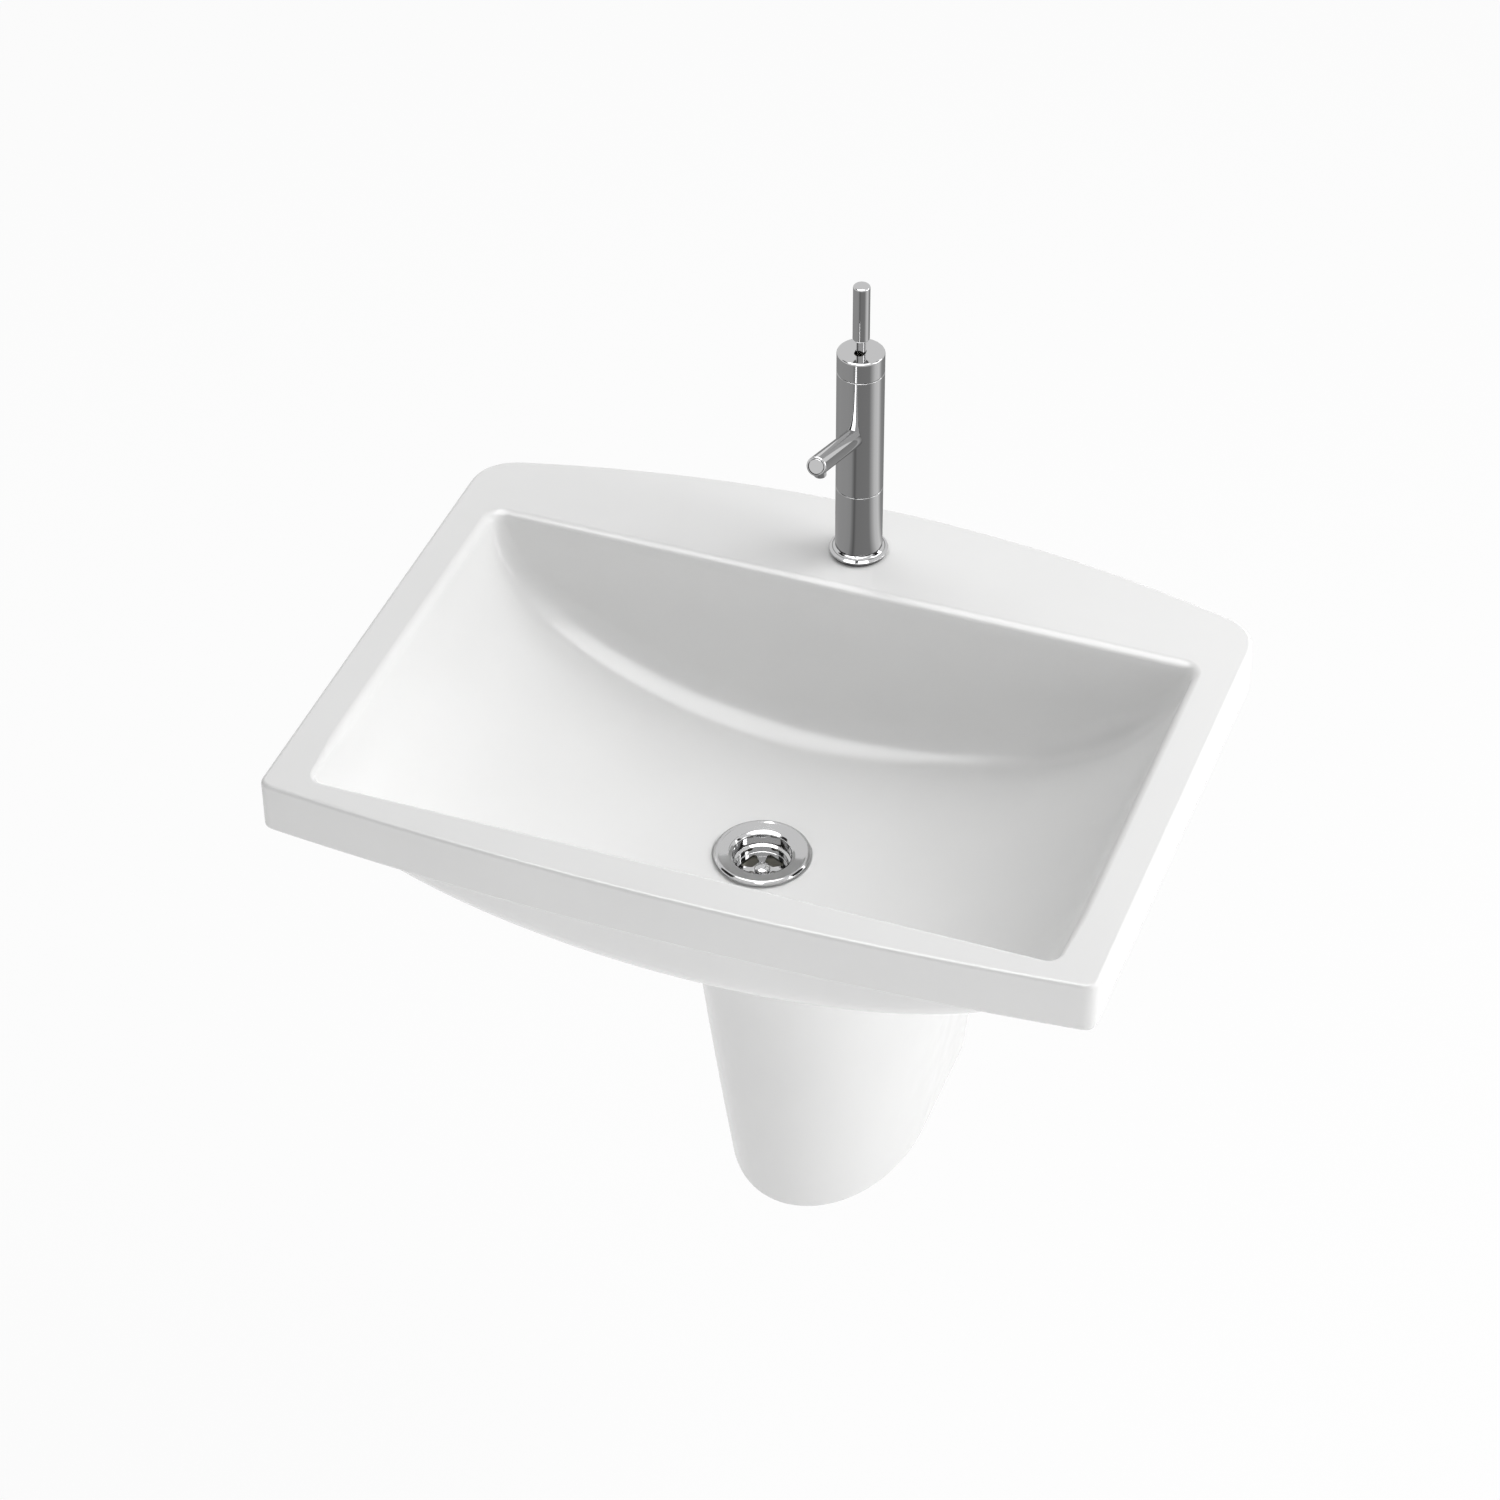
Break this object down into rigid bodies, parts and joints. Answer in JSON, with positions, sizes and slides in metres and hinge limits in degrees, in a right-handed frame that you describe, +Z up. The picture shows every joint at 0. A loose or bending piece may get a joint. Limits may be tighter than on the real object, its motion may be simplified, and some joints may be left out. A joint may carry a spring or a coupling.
{
  "type": "half-pedestal washbasin",
  "caption": "Wall-hung ceramic washbasin with a half pedestal, a joystick mixer tap, a strainer waste and a bottle trap.",
  "frame": {"origin": "on the wall plane, on the centre line, at the height of the two basin bolts (90 mm under the rim)", "axes": "+X to the right for someone who stands in front, +Y into the wall, +Z up"},
  "size_m": [0.6, 0.519, 0.7604],
  "materials": {
    "china": "smooth white glaze",
    "chrome": "polished chrome plating",
    "brass": "turned, unplated",
    "steel": "zinc-plated",
    "rubber": "black, matt",
    "nylon": "moulded, off-white",
    "disc_ceramic": "lapped"
  },
  "bodies": {
    "root": {"basin": "china", "semi_pedestal": "china", "basin_stud_left": "steel", "basin_bush_left": "nylon", "basin_washer_left": "steel", "basin_nut_left": "steel", "pedestal_stud_left": "steel", "pedestal_bush_left": "nylon", "pedestal_washer_left": "steel", "pedestal_nut_left": "steel", "basin_stud_right": "steel", "basin_bush_right": "nylon", "basin_washer_right": "steel", "basin_nut_right": "steel", "pedestal_stud_right": "steel", "pedestal_bush_right": "nylon", "pedestal_washer_right": "steel", "pedestal_nut_right": "steel", "tap_base_gasket": "rubber", "tap_base_ring": "chrome", "tap_shank": "brass", "tap_deck_seal": "rubber", "tap_washer": "steel", "tap_fixing_nut": "brass", "tap_sleeve": "chrome", "tap_body": "chrome", "spout_end_plug": "chrome", "cartridge_port_seal": "rubber", "cartridge_housing": "nylon", "cartridge_fixed_disc": "disc_ceramic", "cartridge_retainer": "brass", "aerator_shell": "chrome", "aerator_insert": "nylon", "waste_flange": "chrome", "waste_flange_seal": "rubber", "waste_screw": "chrome", "waste_lower_seal": "rubber", "waste_body": "nylon", "trap_tail_seal": "rubber", "trap_tail_nut": "chrome", "trap_slip_seal": "rubber", "trap_slip_nut": "chrome", "trap_body": "chrome", "trap_cup_seal": "rubber", "trap_cup": "chrome", "trap_outlet_seal": "rubber", "trap_outlet_nut": "chrome", "trap_outlet_pipe": "chrome", "wall_rosette": "chrome", "trap_inlet_pipe": "chrome"},
    "swivel": {"tap_cap": "chrome"},
    "joystick": {"lever": "chrome"},
    "disc_slide": {"cartridge_moving_disc": "disc_ceramic", "cartridge_driver": "nylon"}
  },
  "joints": [
    {"name": "temperature_turn", "type": "hinge", "parent": "root", "child": "swivel", "pos_m": [0, -0.055, 0.2581], "axis": [0, 0, 1], "range_deg": [-45, 45]},
    {"name": "lever_tilt", "type": "hinge", "parent": "swivel", "child": "joystick", "pos_m": [0, -0.055, 0.2581], "axis": [1, 0, 0], "range_deg": [0, 20]},
    {"name": "disc_travel", "type": "slide", "parent": "swivel", "child": "disc_slide", "axis": [0, 1, 0], "range_m": [0, 0.003]}
  ],
  "couplings": [
    {"joint": "disc_travel", "follows": "lever_tilt", "m_per_rad": 0.0083}
  ]
}
